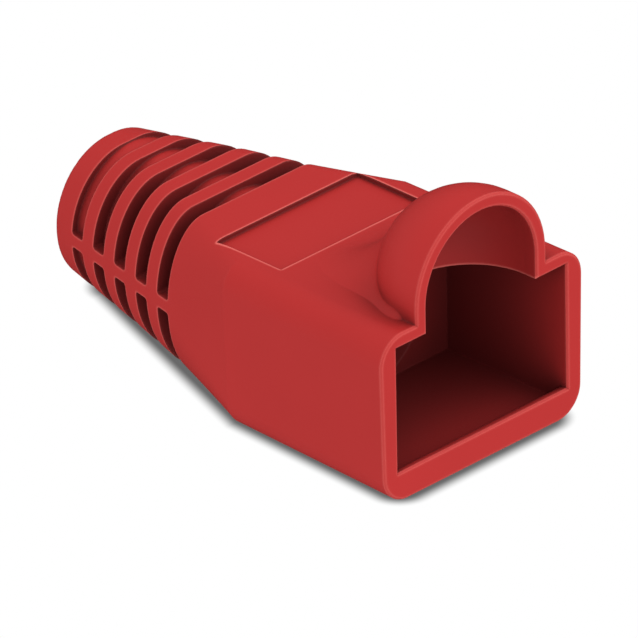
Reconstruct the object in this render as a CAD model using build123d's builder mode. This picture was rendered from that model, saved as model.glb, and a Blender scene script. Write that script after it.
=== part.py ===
from build123d import *
import os
from math import atan2, cos, radians, sin, sqrt

# Strain relief boot for a cable with a modular plug, moulded in one piece from soft PVC.
# Millimetres. The cable runs along X: the tail's end face is at X = 0 and the mouth, which takes
# the plug, is at X = boot_length. The origin is on the cable's centre line, +Z is the hood's side.

# Cable passage
cable_bore = 6.0  # diameter that a round cable slides through
core_tube = 7.7  # outer diameter of the tube that is left under the slots

# Whole form
boot_length = 25.6
boot_height = 14.41  # from the flat base to the top of the hood
top_rise = 4.18  # from the cable's centre line up to the flat top
base_drop = 5.0  # from the cable's centre line down to the flat base
base_trim = 0.002  # cut off under the whole body, to leave its base a true flat

# Tail, from the round end face past the waist to the neck, with flats above and below
tail_diameter = 7.7
tail_flat = 0.1
tail_side_flat = 0.2  # height of the upright stretch on each side, along the whole tail
tail_end_round = 0.35
waist_length = 5.83  # from the end face to the middle of the centre slot
waist_width = 10.2
waist_flat = 3.9
waist_rise = 4.16
waist_drop = 4.15
neck_length = 9.92  # from the end face to the far side of the last slot
neck_width = 11.86
neck_flat = 6.8
neck_drop = 4.4

# Slots that let the tail bend
slot_count = 5
slot_width = 0.92
slot_pitch = 1.86
side_rib = 0.7  # height of the rib that links the rings on each side
slot_end_round = 0.18

# Body
body_length = 14.52  # from the end face to where the body is full
body_top_width = 13.5
body_base_width = 12.85
body_top_corner = 1.45
mouth_top_width = 14.1
mouth_base_width = 13.7
mouth_top_corner = 1.6
base_corner = 1.6
rim_bevel = 0.1  # on all edges of the mouth's rim

# Plug cavity
plug_width = 11.7
plug_clearance = 0.05  # on each side of the plug
cavity_depth = 8.2
sill_drop = 3.4  # from the centre line down to the sill at the mouth
ceiling_rise = 3.45  # from the centre line up to the cavity's ceiling
floor_step = 0.8  # the floor behind the sill lies this much lower
sill_thickness = 0.65
sill_round = 0.4  # along the back of the sill

# Funnel from the cavity down to the cable bore
funnel_diameter = 8.8  # on the cavity's back wall
funnel_length = 2.6

# Hood over the plug's latch
hood_diameter = 9.06
hood_wall = 0.72
hood_front = 0.8  # straight stretch behind the mouth, before the hood turns round its upright axis

# Hollow that blends the hood's rear into the flat top, the same on both sides
hollow_radii = [4.3, 5.2, 3.0, 0.9, 0.5, 0.1]  # at even turns from the rear to its end
hollow_end = 88  # degrees round from the hood's rear
hollow_sink = 0.02  # how far the hollow's edges are set into the hood and the flat top
hollow_root = 0.4  # how far its hidden part reaches on below the surface

# Label recess in the flat top
label_length = 4.4
label_width = 9.8
label_depth = 0.25
label_setback = 8.84  # from the mouth to the recess

os.makedirs("parts", exist_ok=True)

cavity_start = boot_length - cavity_depth
cavity_width = plug_width + 2 * plug_clearance
cavity_floor = sill_drop + floor_step
hood_turn = boot_length - hood_front
hood_radius = hood_diameter / 2
latch_radius = hood_radius - hood_wall
hood_centre = boot_height - base_drop - hood_radius
hood_leg = hood_centre - top_rise  # the hood's sides stand upright for this height
quarter = [1, sqrt(0.5), 1]  # curve weights that make a corner a true quarter of an ellipse


def across(station, rise, drop, top_width, base_width, top_corner, base_corner):
    """One section square to the cable; a corner is how far it runs across and how far upright."""
    lean = (top_width - base_width) / (2 * (rise + drop))
    upper = [
        (top_width / 2 - top_corner[0], rise),
        (top_width / 2, rise),
        (top_width / 2 - lean * top_corner[1], rise - top_corner[1]),
    ]
    lower = [
        (base_width / 2 + lean * base_corner[1], base_corner[1] - drop),
        (base_width / 2, -drop),
        (base_width / 2 - base_corner[0], -drop),
    ]
    mirrored = [[(-y, z) for y, z in reversed(corner)] for corner in (lower, upper)]
    corners = [upper, lower, *mirrored]
    with BuildSketch(Plane.YZ.offset(station)) as section:
        with BuildLine():
            for corner, following in zip(corners, corners[1:] + corners[:1]):
                Bezier(*corner, weights=quarter)
                Line(corner[-1], following[0])
        make_face()
    return section.sketch


def tail_section(station, rise, drop, width, flat):
    """A section of the tail: its sides are round from the flat above to the flat below."""
    run = (width - flat) / 2
    top_corner = (run, rise - tail_side_flat / 2)
    low_corner = (run, drop - tail_side_flat / 2)
    return across(station, rise, drop, width, width, top_corner, low_corner)


def body_section(station, top_width, base_width, top_corner):
    """A section of the body: a drafted rectangle with round corners."""
    corners = ((top_corner, top_corner), (base_corner, base_corner))
    return across(station, top_rise, base_drop + base_trim, top_width, base_width, *corners)


tail_end = tail_section(0, tail_diameter / 2, tail_diameter / 2, tail_diameter, tail_flat)
waist = tail_section(waist_length, waist_rise, waist_drop, waist_width, waist_flat)
neck = tail_section(neck_length, top_rise, neck_drop, neck_width, neck_flat)
body = body_section(body_length, body_top_width, body_base_width, body_top_corner)
mouth = body_section(boot_length, mouth_top_width, mouth_base_width, mouth_top_corner)


def hood_form(radius):
    """An arch that runs back from the mouth and then turns half round an upright axis."""
    with BuildPart() as form:
        with BuildSketch(Plane.YZ.offset(hood_turn)) as half_arch:
            with BuildLine():
                Polyline((0, hood_centre + radius), (0, 0), (radius, 0), (radius, hood_centre))
                RadiusArc((radius, hood_centre), (0, hood_centre + radius), -radius)
            make_face()
        revolve(axis=Axis((hood_turn, 0, 0), (0, 0, 1)), revolution_arc=180)
        with BuildSketch(Plane.YZ.offset(hood_turn)):
            add(half_arch.sketch_local)
            mirror(about=Plane.YZ)
        extrude(amount=hood_front)
    return form.part


def hollow_section(angle, radius):
    """Upright section of the hollow at one angle from the hood's rear, with an arc of one radius."""
    seat = hood_radius - hollow_sink
    climb = max(radius - hood_leg, 0)
    reach = sqrt((seat + radius) ** 2 - climb**2)
    slope = atan2(climb, reach)
    touch = (seat * cos(slope), min(radius, hood_leg) + seat * sin(slope))
    turn = radians(angle)
    upright = Plane(
        origin=(hood_turn, 0, top_rise - hollow_sink),
        x_dir=(-cos(turn), sin(turn), 0),
        z_dir=(sin(turn), cos(turn), 0),
    )
    with BuildSketch(upright) as section:
        with BuildLine():
            RadiusArc(touch, (reach, 0), -radius)
            Polyline(
                (reach, 0),
                (reach, -hollow_root),
                (touch[0] - hollow_root, -hollow_root),
                (touch[0] - hollow_root, touch[1]),
                touch,
            )
        make_face()
    return section.sketch


with BuildPart() as hollow:
    step = hollow_end / (len(hollow_radii) - 1)
    far_side = [hollow_section(turn * step, radius) for turn, radius in enumerate(hollow_radii)]
    near_side = [hollow_section(-turn * step, radius) for turn, radius in enumerate(hollow_radii)]
    loft(near_side[:0:-1] + far_side)

with BuildPart() as funnel:
    with BuildSketch(Plane.YZ.offset(cavity_start - funnel_length)):
        Circle(cable_bore / 2)
    with BuildSketch(Plane.YZ.offset(cavity_start)):
        Circle(funnel_diameter / 2)
    loft()
    with Locations((cavity_start, 0, (ceiling_rise - cavity_floor) / 2)):
        Box(2 * funnel_length, cavity_width, ceiling_rise + cavity_floor, mode=Mode.INTERSECT)

with BuildPart() as slot:
    with BuildSketch(Plane.YZ):
        Rectangle(2 * neck_width, 2 * neck_width)
        Circle(core_tube / 2, mode=Mode.SUBTRACT)
        Rectangle(2 * neck_width, side_rib, mode=Mode.SUBTRACT)
    extrude(amount=slot_width / 2, both=True)
    fillet(
        slot.edges().filter_by(Axis.Y).filter_by_position(Axis.Z, -side_rib, side_rib),
        slot_end_round,
    )

with BuildPart() as boot:
    loft([tail_end, waist], ruled=True)
    fillet(boot.faces().sort_by(Axis.X)[0].edges(), tail_end_round)
    loft([waist, neck], ruled=True)
    loft([neck, body], ruled=True)
    loft([body, mouth], ruled=True)
    split(bisect_by=Plane.XY.offset(-base_drop), keep=Keep.TOP)
    add(hood_form(hood_radius))
    add(hollow.part)

    # Label recess
    with BuildSketch(Plane.XY.offset(top_rise - label_depth)):
        with Locations((boot_length - label_setback, 0)):
            Rectangle(label_length, label_width, align=(Align.MAX, Align.CENTER))
    extrude(amount=2 * label_depth, mode=Mode.SUBTRACT)

    # Plug cavity, with its floor lowered behind the sill
    with BuildSketch(Plane.YZ.offset(boot_length)):
        with Locations((0, -sill_drop)):
            Rectangle(cavity_width, sill_drop + ceiling_rise, align=(Align.CENTER, Align.MIN))
    extrude(amount=-cavity_depth, mode=Mode.SUBTRACT)
    with BuildSketch(Plane.YZ.offset(cavity_start)):
        with Locations((0, -cavity_floor)):
            Rectangle(cavity_width, cavity_floor, align=(Align.CENTER, Align.MIN))
    extrude(amount=cavity_depth - sill_thickness, mode=Mode.SUBTRACT)
    sill_back = (boot_length - sill_thickness, 0, -sill_drop)
    fillet(boot.edges().sort_by_distance(sill_back)[0], sill_round)

    # Latch space under the hood
    add(hood_form(latch_radius), mode=Mode.SUBTRACT)

    # Cable bore and funnel
    with BuildSketch(Plane.YZ):
        Circle(cable_bore / 2)
    extrude(amount=cavity_start, mode=Mode.SUBTRACT)
    add(funnel.part, mode=Mode.SUBTRACT)

    # Slots
    with Locations((neck_length - slot_width / 2 - (slot_count - 1) * slot_pitch / 2, 0)):
        with GridLocations(slot_pitch, 0, slot_count, 1):
            add(slot.part, mode=Mode.SUBTRACT)

    # Rim round the mouth
    chamfer(boot.faces().sort_by(Axis.X)[-1].edges(), rim_bevel)

boot.part.label = "boot"
export_step(boot.part, "parts/boot.step")
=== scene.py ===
"""Finish, stage and camera for a strain relief boot, moulded in one piece from soft red PVC."""

from math import cos, radians, sin

import bmesh
import bpy
from bpy.props import FloatProperty, FloatVectorProperty, PointerProperty
from mathutils import Matrix, Vector


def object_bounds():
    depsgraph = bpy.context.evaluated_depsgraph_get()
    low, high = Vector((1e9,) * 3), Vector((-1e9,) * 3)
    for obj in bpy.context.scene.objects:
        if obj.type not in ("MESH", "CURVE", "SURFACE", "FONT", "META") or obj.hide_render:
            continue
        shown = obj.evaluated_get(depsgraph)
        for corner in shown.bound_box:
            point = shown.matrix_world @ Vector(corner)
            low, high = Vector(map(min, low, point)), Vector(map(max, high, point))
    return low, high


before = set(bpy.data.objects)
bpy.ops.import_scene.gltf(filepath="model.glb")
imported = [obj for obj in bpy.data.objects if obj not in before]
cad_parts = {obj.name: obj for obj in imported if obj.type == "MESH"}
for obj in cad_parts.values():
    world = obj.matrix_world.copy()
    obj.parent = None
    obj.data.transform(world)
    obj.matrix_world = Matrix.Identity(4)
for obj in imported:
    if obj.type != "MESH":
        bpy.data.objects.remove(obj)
cad_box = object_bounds()

bl_info = {
    "name": "Strain relief boot",
    "version": (1, 0, 0),
    "blender": (4, 5, 0),
    "location": "3D View > Sidebar > Boot",
    "description": "Dresses the moulded boot and sets up its stage, light and camera",
    "category": "Object",
}


noise_span = (0.3, 0.7)  # nearly all values of a noise texture lie between these


def linear(code):
    """The linear colour of an sRGB hex value."""
    shares = [int(code[start : start + 2], 16) / 255 for start in (1, 3, 5)]
    return [s / 12.92 if s <= 0.04045 else ((s + 0.055) / 1.055) ** 2.4 for s in shares]


def add_node(tree, kind, inputs, **settings):
    """Adds a node with its settings, and sets or links the inputs that are named."""
    added = tree.nodes.new(kind)
    for name, value in settings.items():
        setattr(added, name, value)
    for name, value in inputs.items():
        if isinstance(value, bpy.types.NodeSocket):
            tree.links.new(value, added.inputs[name])
        else:
            added.inputs[name].default_value = value
    return added


class BootFinish(bpy.types.PropertyGroup):
    """The moulded PVC of the boot, with its painted edge highlight and painted shade."""

    colour: FloatVectorProperty(
        name="Colour",
        description="Pigment of the PVC",
        default=linear("#A62726"),
        size=3,
        min=0,
        max=1,
        subtype="COLOR",
    )
    flow_colour: FloatVectorProperty(
        name="Flow colour",
        description="Slightly deeper pigment where the melt flowed in last",
        default=linear("#A12524"),
        size=3,
        min=0,
        max=1,
        subtype="COLOR",
    )
    flow_width: FloatProperty(
        name="Flow width",
        description="Width of one broad shade of the flow, about a third of the boot's",
        default=0.0045,
        min=0.0001,
        unit="LENGTH",
        precision=4,
    )
    # Painted highlight: a paler tone on the thin rounded edges
    edge_highlight_colour: FloatVectorProperty(
        name="Edge colour",
        description="Paler tone of the thin rounded edges",
        default=linear("#E87870"),
        size=3,
        min=0,
        max=1,
        subtype="COLOR",
    )
    roughness: FloatProperty(
        name="Roughness",
        description="How far the surface is from gloss",
        default=0.46,
        min=0,
        max=1,
        subtype="FACTOR",
    )
    roughness_spread: FloatProperty(
        name="Roughness spread",
        description="What the grain adds to the roughness, and takes from it",
        default=0.04,
        min=0,
        max=1,
        subtype="FACTOR",
    )
    gloss: FloatProperty(
        name="Gloss",
        description="Strength of the reflections; 0.5 is a bare polished surface",
        default=0.1,
        min=0,
        max=1,
        subtype="FACTOR",
    )
    edge_round: FloatProperty(
        name="Edge rounding",
        description="Radius that the mould leaves on the edges",
        default=0.00014,
        min=0,
        unit="LENGTH",
        precision=6,
    )
    # Reach and mask of the painted edge highlight
    edge_reach: FloatProperty(
        name="Edge reach",
        description="How far from an edge its pale tone reaches",
        default=0.00015,
        min=0,
        unit="LENGTH",
        precision=6,
    )
    edge_fill: FloatVectorProperty(
        name="Edge fill",
        description="Share of plastic behind the surface where the pale tone starts, and is full",
        default=(0.96, 0.65),
        size=2,
        min=0,
        max=1,
    )
    # Strengths of the painted edge highlight on the tail and on the body
    tail_edge_highlight: FloatProperty(
        name="Tail edges",
        description="Strength of the pale tone on the tail's edges",
        default=0.22,
        min=0,
        max=1,
        subtype="FACTOR",
    )
    body_edge_highlight: FloatProperty(
        name="Body edges",
        description="Strength of the pale tone on the edges of the body and the mouth",
        default=0.6,
        min=0,
        max=1,
        subtype="FACTOR",
    )
    tail_length: FloatProperty(
        name="Tail length",
        description="From the tail's end to where its edges give way to the body's",
        default=0.0105,
        min=0,
        unit="LENGTH",
        precision=4,
    )
    edge_change: FloatProperty(
        name="Edge change",
        description="Length over which the tail's strength of tone changes to the body's",
        default=0.002625,
        min=0,
        unit="LENGTH",
        precision=6,
    )
    # Painted shade in the tightest creases
    crease_shade_colour: FloatVectorProperty(
        name="Crease colour",
        description="Deeper tone of the tightest creases",
        default=linear("#721B1A"),
        size=3,
        min=0,
        max=1,
        subtype="COLOR",
    )
    crease_shade_reach: FloatProperty(
        name="Crease reach",
        description="How far from its sides a crease is shaded",
        default=0.002,
        min=0,
        unit="LENGTH",
        precision=5,
    )
    crease_sky: FloatVectorProperty(
        name="Crease sky",
        description="Share of clear sky where a crease is darkest, and where it ends",
        default=(0.45, 0.95),
        size=2,
        min=0,
        max=1,
    )
    # Painted shade over the deepest hollows
    hollow_shade_colour: FloatVectorProperty(
        name="Hollow colour",
        description="Dusky tone of the deepest hollows",
        default=linear("#652020"),
        size=3,
        min=0,
        max=1,
        subtype="COLOR",
    )
    hollow_shade_reach: FloatProperty(
        name="Hollow reach",
        description="How far across a hollow still counts as closed",
        default=0.02,
        min=0,
        unit="LENGTH",
        precision=4,
    )
    hollow_sky: FloatVectorProperty(
        name="Hollow sky",
        description="Share of clear sky where a hollow is darkest, and where it ends",
        default=(0.05, 0.8),
        size=2,
        min=0,
        max=1,
    )
    grain_width: FloatProperty(
        name="Grain width",
        description="Width of one grain of the mould's eroded texture",
        default=0.00012,
        min=0.00001,
        unit="LENGTH",
        precision=6,
    )
    grain_depth: FloatProperty(
        name="Grain depth",
        description="Depth of the mould's eroded texture",
        default=0.000004,
        min=0,
        unit="LENGTH",
        precision=6,
    )
    grain_relief: FloatProperty(
        name="Grain relief",
        description="How strongly the grain stands out",
        default=0.25,
        min=0,
        max=1,
        subtype="FACTOR",
    )


class BootStage(bpy.types.PropertyGroup):
    """The floor, the light and the camera."""

    floor_colour: FloatVectorProperty(
        name="Floor",
        description="Pale colour of the floor",
        default=linear("#FFFFFF"),
        size=3,
        min=0,
        max=1,
        subtype="COLOR",
    )
    # Painted shadow on the floor round the boot
    shade_colour: FloatVectorProperty(
        name="Shade",
        description="Tone of the floor close to the boot",
        default=linear("#686868"),
        size=3,
        min=0,
        max=1,
        subtype="COLOR",
    )
    shade_reach: FloatProperty(
        name="Shade reach",
        description="How far the shade fades away, out from its dark edge",
        default=0.00096,
        min=0,
        unit="LENGTH",
        precision=5,
    )
    shade_round: FloatProperty(
        name="Shade rounding",
        description="Radius of the shade's corners",
        default=0.0011,
        min=0,
        unit="LENGTH",
        precision=4,
    )
    shade_start: FloatProperty(
        name="Shade start",
        description="Where the shade's dark edge starts; below nought is behind the tail's end",
        default=-0.001,
        unit="LENGTH",
        precision=4,
    )
    tail_half_width: FloatProperty(
        name="Tail half width",
        description="From the middle to the shade's dark edge, at the tail's end",
        default=0.0005,
        min=0,
        unit="LENGTH",
        precision=5,
    )
    rest_start: FloatProperty(
        name="Resting start",
        description="From the tail's end to where the shade widens to that of the resting base",
        default=0.0141,
        unit="LENGTH",
        precision=4,
    )
    rest_half_width: FloatProperty(
        name="Resting half width",
        description="From the middle to the shade's dark edge, at the resting start",
        default=0.00544,
        min=0,
        unit="LENGTH",
        precision=5,
    )
    rest_widening: FloatProperty(
        name="Resting widening",
        description="What the half width gains from the resting start to the mouth",
        default=0.00043,
        min=0,
        unit="LENGTH",
        precision=5,
    )
    floor_width: FloatProperty(
        name="Floor width",
        description="Side of the square floor",
        default=4.0,
        min=0.1,
        unit="LENGTH",
    )
    tent_strength: FloatProperty(
        name="Tent",
        description="Brightness of the white tent all round",
        default=1.33,
        min=0,
    )
    key_strength: FloatProperty(
        name="Key light",
        description="Irradiance of the soft light from above, on the mouth's far side",
        default=1.15,
        min=0,
    )
    key_angle: FloatProperty(
        name="Key light's spread",
        description="How wide the soft light is, as seen from the boot",
        default=radians(60),
        min=0,
        subtype="ANGLE",
    )
    key_direction: FloatVectorProperty(
        name="Key light's side",
        description="From the boot towards the soft light",
        default=(0.6, 0.45, 0.66),
        size=3,
        subtype="DIRECTION",
    )
    floor_strength: FloatProperty(
        name="Floor light",
        description="Brightness of the lit floor",
        default=1.0,
        min=0,
    )
    azimuth: FloatProperty(
        name="Azimuth",
        description="Camera's turn round the boot, from its near side towards the mouth",
        default=radians(44.964),
        subtype="ANGLE",
    )
    elevation: FloatProperty(
        name="Elevation",
        description="Camera's height above the horizon",
        default=radians(28.342),
        subtype="ANGLE",
    )
    roll: FloatProperty(
        name="Roll",
        description="Camera's turn about its own axis",
        default=radians(-0.963),
        subtype="ANGLE",
    )
    aim: FloatVectorProperty(
        name="Aim",
        description="Point at the middle of the picture",
        default=(0.01896, -0.004545, 0.002137),
        size=3,
        subtype="TRANSLATION",
        unit="LENGTH",
        precision=5,
    )
    distance: FloatProperty(
        name="Distance",
        description="From the aim point to the camera",
        default=1.0325,
        min=0.1,
        unit="LENGTH",
    )
    lens: FloatProperty(
        name="Lens",
        description="Focal length",
        default=1200.0,
        min=1,
        unit="CAMERA",
    )
    sensor: FloatProperty(
        name="Sensor",
        description="Width of the sensor",
        default=36.0,
        min=1,
        unit="CAMERA",
    )


def openness(tree, reach, sky):
    """One in the open, falling smoothly to nought where walls within the reach close a surface in.

    Sky holds the shares of clear sky where it is nought and where it is one.
    """
    seen = add_node(
        tree, "ShaderNodeAmbientOcclusion", {"Distance": reach}, samples=12, only_local=True
    )
    share = add_node(
        tree,
        "ShaderNodeMapRange",
        {"Value": seen.outputs["AO"], "From Min": sky[0], "From Max": sky[1]},
        interpolation_type="SMOOTHSTEP",
    )
    return share.outputs["Result"]


def moulded_pvc(look):
    """Plasticised PVC, injection moulded: an even satin red with soft broad highlights.

    The fine eroded grain of the mould spreads the gloss, and the thin rounded edges catch light,
    helped by a painted highlight.
    Creases and deep hollows get painted shade.
    """
    material = bpy.data.materials.new("plasticised_pvc_injection_moulded")
    material.use_nodes = True
    tree = material.node_tree
    tree.nodes.clear()
    place = add_node(tree, "ShaderNodeTexCoord", {}).outputs["Object"]

    # The melt leaves broad, faint shades of the pigment
    flow = add_node(
        tree,
        "ShaderNodeTexNoise",
        {"Vector": place, "Scale": 1 / look.flow_width, "Detail": 2.0, "Roughness": 0.5},
    )
    pigment = add_node(
        tree,
        "ShaderNodeMix",
        {"Factor": flow.outputs["Fac"], "A": (*look.colour, 1), "B": (*look.flow_colour, 1)},
        data_type="RGBA",
    )

    # Real eroded grain is about 0.03 mm; it is drawn four times as wide so that it shows
    grain = add_node(
        tree,
        "ShaderNodeTexNoise",
        {"Vector": place, "Scale": 1 / look.grain_width, "Detail": 2.0, "Roughness": 0.6},
    )
    soft_edge = add_node(tree, "ShaderNodeBevel", {"Radius": look.edge_round}, samples=8)
    relief = add_node(
        tree,
        "ShaderNodeBump",
        {
            "Strength": look.grain_relief,
            "Distance": look.grain_depth,
            "Height": grain.outputs["Fac"],
            "Normal": soft_edge.outputs["Normal"],
        },
    )
    sheen = add_node(
        tree,
        "ShaderNodeMapRange",
        {
            "Value": grain.outputs["Fac"],
            "From Min": noise_span[0],
            "From Max": noise_span[1],
            "To Min": look.roughness - look.roughness_spread,
            "To Max": look.roughness + look.roughness_spread,
        },
    )

    # A painted highlight marks the edges: an edge is where less plastic lies behind the surface,
    # within the edge's reach
    thin = add_node(
        tree,
        "ShaderNodeAmbientOcclusion",
        {"Distance": look.edge_reach},
        samples=12,
        inside=True,
        only_local=True,
    )

    # The painted edge highlight is strong on the crisp edges of the body and the mouth, and fainter
    # on the tail's softer rings
    along = add_node(tree, "ShaderNodeSeparateXYZ", {"Vector": place})
    strength = add_node(
        tree,
        "ShaderNodeMapRange",
        {
            "Value": along.outputs["X"],
            "From Min": look.tail_length,
            "From Max": look.tail_length + look.edge_change,
            "To Min": look.tail_edge_highlight,
            "To Max": look.body_edge_highlight,
        },
    )
    edge = add_node(
        tree,
        "ShaderNodeMapRange",
        {
            "Value": thin.outputs["AO"],
            "From Min": look.edge_fill[0],
            "From Max": look.edge_fill[1],
            "To Max": strength.outputs["Result"],
        },
    )
    # The painted highlight pales the pigment on the edges
    tone = add_node(
        tree,
        "ShaderNodeMix",
        {
            "Factor": edge.outputs["Result"],
            "A": pigment.outputs["Result"],
            "B": (*look.edge_highlight_colour, 1),
        },
        data_type="RGBA",
    )

    # Painted shade on closed-in surfaces: darker near each crease, and over the whole of a deep
    # hollow
    crease_shaded = add_node(
        tree,
        "ShaderNodeMix",
        {
            "Factor": openness(tree, look.crease_shade_reach, look.crease_sky),
            "A": (*look.crease_shade_colour, 1),
            "B": tone.outputs["Result"],
        },
        data_type="RGBA",
    )
    # Painted shade over deep hollows, laid over the crease shade
    deep = add_node(
        tree,
        "ShaderNodeMix",
        {
            "Factor": openness(tree, look.hollow_shade_reach, look.hollow_sky),
            "A": (*look.hollow_shade_colour, 1),
            "B": crease_shaded.outputs["Result"],
        },
        data_type="RGBA",
    )
    body = add_node(
        tree,
        "ShaderNodeBsdfPrincipled",
        {
            "Base Color": deep.outputs["Result"],
            "Roughness": sheen.outputs["Result"],
            "IOR": 1.53,
            "Specular IOR Level": look.gloss,
            "Normal": relief.outputs["Normal"],
        },
    )
    add_node(tree, "ShaderNodeOutputMaterial", {"Surface": body.outputs["BSDF"]})
    return material


def lit_opal(look):
    """Opal acrylic, cast and lit evenly from behind: a plain white floor with no shading of its own.

    A painted shadow, drawn by place on the floor, darkens it in a soft line round the boot's
    footprint and under the tail.
    """
    material = bpy.data.materials.new("opal_acrylic_cast_backlit")
    material.use_nodes = True
    tree = material.node_tree
    tree.nodes.clear()
    place = add_node(tree, "ShaderNodeTexCoord", {}).outputs["Object"]
    spot = add_node(tree, "ShaderNodeSeparateXYZ", {"Vector": place})
    aside = add_node(tree, "ShaderNodeMath", {0: spot.outputs["Y"]}, operation="ABSOLUTE")

    # The painted shadow widens from under the tail's end to the body's base, and on to the mouth
    tail = add_node(
        tree,
        "ShaderNodeMapRange",
        {
            "Value": spot.outputs["X"],
            "From Min": 0.0,
            "From Max": look.rest_start,
            "To Min": look.tail_half_width - look.shade_round,
            "To Max": look.rest_half_width - look.shade_round,
        },
    )
    base = add_node(
        tree,
        "ShaderNodeMapRange",
        {
            "Value": spot.outputs["X"],
            "From Min": look.rest_start,
            "From Max": cad_box[1].x,
            "To Max": look.rest_widening,
        },
    )
    half = add_node(
        tree,
        "ShaderNodeMath",
        {0: tail.outputs["Result"], 1: base.outputs["Result"]},
        operation="ADD",
    )

    # How far out a spot of the floor lies, to a side, before the mouth or behind the tail, from
    # a line set in by the radius of the shade's corners, so that the corners come out round
    side = add_node(
        tree,
        "ShaderNodeMath",
        {0: aside.outputs["Value"], 1: half.outputs["Value"]},
        operation="SUBTRACT",
        use_clamp=True,
    )
    front = add_node(
        tree,
        "ShaderNodeMath",
        {0: spot.outputs["X"], 1: cad_box[1].x - look.shade_round},
        operation="SUBTRACT",
        use_clamp=True,
    )
    rear = add_node(
        tree,
        "ShaderNodeMath",
        {0: look.shade_start + look.shade_round, 1: spot.outputs["X"]},
        operation="SUBTRACT",
        use_clamp=True,
    )
    out = add_node(
        tree,
        "ShaderNodeCombineXYZ",
        {"X": side.outputs["Value"], "Y": front.outputs["Value"], "Z": rear.outputs["Value"]},
    )
    length = add_node(
        tree, "ShaderNodeVectorMath", {"Vector": out.outputs["Vector"]}, operation="LENGTH"
    )
    clear = add_node(
        tree,
        "ShaderNodeMapRange",
        {
            "Value": length.outputs["Value"],
            "From Min": look.shade_round,
            "From Max": look.shade_round + look.shade_reach,
        },
        interpolation_type="SMOOTHSTEP",
    )
    # The painted shadow darkens the white floor
    tone = add_node(
        tree,
        "ShaderNodeMix",
        {
            "Factor": clear.outputs["Result"],
            "A": (*look.shade_colour, 1),
            "B": (*look.floor_colour, 1),
        },
        data_type="RGBA",
    )
    sheet = add_node(
        tree,
        "ShaderNodeEmission",
        {"Color": tone.outputs["Result"], "Strength": look.floor_strength},
    )
    add_node(tree, "ShaderNodeOutputMaterial", {"Surface": sheet.outputs["Emission"]})
    return material


def camera_turn(look):
    """The camera's axes, from its azimuth, elevation and roll."""
    back = Vector(
        (
            sin(look.azimuth) * cos(look.elevation),
            -cos(look.azimuth) * cos(look.elevation),
            sin(look.elevation),
        )
    )
    level = Vector((cos(look.azimuth), sin(look.azimuth), 0))
    turn = Matrix((level, back.cross(level), back)).transposed()
    return turn @ Matrix.Rotation(look.roll, 3, "Z")


class BOOT_OT_dress(bpy.types.Operator):
    """Gives the moulded boot its finish"""

    bl_idname = "boot.dress"
    bl_label = "Dress the boot"

    def execute(self, context):
        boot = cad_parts["boot"]
        boot.data.materials.clear()
        boot.data.materials.append(moulded_pvc(context.scene.boot_finish))

        # Wide flat faces keep their own normals where they meet the hood's hollow
        level = boot.modifiers.new("level_shading", "WEIGHTED_NORMAL")
        level.keep_sharp = True
        return {"FINISHED"}


class BOOT_OT_stage(bpy.types.Operator):
    """Sets up the pale floor, the soft light and the camera"""

    bl_idname = "boot.stage"
    bl_label = "Set up the stage"

    def execute(self, context):
        look = context.scene.boot_stage
        link = context.scene.collection.objects.link

        sheet = bmesh.new()
        bmesh.ops.create_grid(sheet, x_segments=1, y_segments=1, size=look.floor_width / 2)
        bmesh.ops.translate(sheet, verts=sheet.verts, vec=(0, 0, cad_box[0].z))
        mesh = bpy.data.meshes.new("floor")
        sheet.to_mesh(mesh)
        sheet.free()
        mesh.materials.append(lit_opal(look))
        floor = bpy.data.objects.new("floor", mesh)

        # The lit floor throws no light on the boot, which the tent lights from all round
        floor.visible_diffuse = False
        floor.visible_glossy = False
        link(floor)

        world = bpy.data.worlds.new("white_tent")
        context.scene.world = world
        world.use_nodes = True
        world.node_tree.nodes["Background"].inputs["Color"].default_value = (1, 1, 1, 1)
        world.node_tree.nodes["Background"].inputs["Strength"].default_value = look.tent_strength

        # Left out of the reflections, so that the red stays deep; even, so not sampled as a light
        world.cycles_visibility.glossy = False
        world.cycles.sampling_method = "NONE"

        key = bpy.data.objects.new("key_light", bpy.data.lights.new("key_light", "SUN"))
        key.data.energy = look.key_strength
        key.data.angle = look.key_angle
        key.rotation_euler = Vector(look.key_direction).to_track_quat("Z", "Y").to_euler()
        link(key)

        camera = bpy.data.objects.new("camera", bpy.data.cameras.new("camera"))
        camera.data.lens = look.lens
        camera.data.sensor_width = look.sensor
        camera.data.clip_end = 10 * look.distance
        turn = camera_turn(look)
        camera.location = Vector(look.aim) + turn @ Vector((0, 0, look.distance))
        camera.rotation_euler = turn.to_euler()
        link(camera)
        context.scene.camera = camera
        context.scene.view_settings.view_transform = "Standard"
        return {"FINISHED"}


class BOOT_PT_panel(bpy.types.Panel):
    """Settings of the boot and its stage"""

    bl_idname = "BOOT_PT_panel"
    bl_label = "Strain relief boot"
    bl_space_type = "VIEW_3D"
    bl_region_type = "UI"
    bl_category = "Boot"

    def draw(self, context):
        for settings, operator in (
            (context.scene.boot_finish, BOOT_OT_dress),
            (context.scene.boot_stage, BOOT_OT_stage),
        ):
            box = self.layout.box()
            for name in settings.__annotations__:
                box.prop(settings, name)
            box.operator(operator.bl_idname)


classes = (BootFinish, BootStage, BOOT_OT_dress, BOOT_OT_stage, BOOT_PT_panel)


def register():
    for each in classes:
        bpy.utils.register_class(each)
    bpy.types.Scene.boot_finish = PointerProperty(type=BootFinish)
    bpy.types.Scene.boot_stage = PointerProperty(type=BootStage)


def unregister():
    del bpy.types.Scene.boot_stage
    del bpy.types.Scene.boot_finish
    for each in reversed(classes):
        bpy.utils.unregister_class(each)


def main():
    """Makes everything in order."""
    register()
    bpy.ops.boot.dress()
    bpy.ops.boot.stage()


if __name__ == "__main__":
    main()
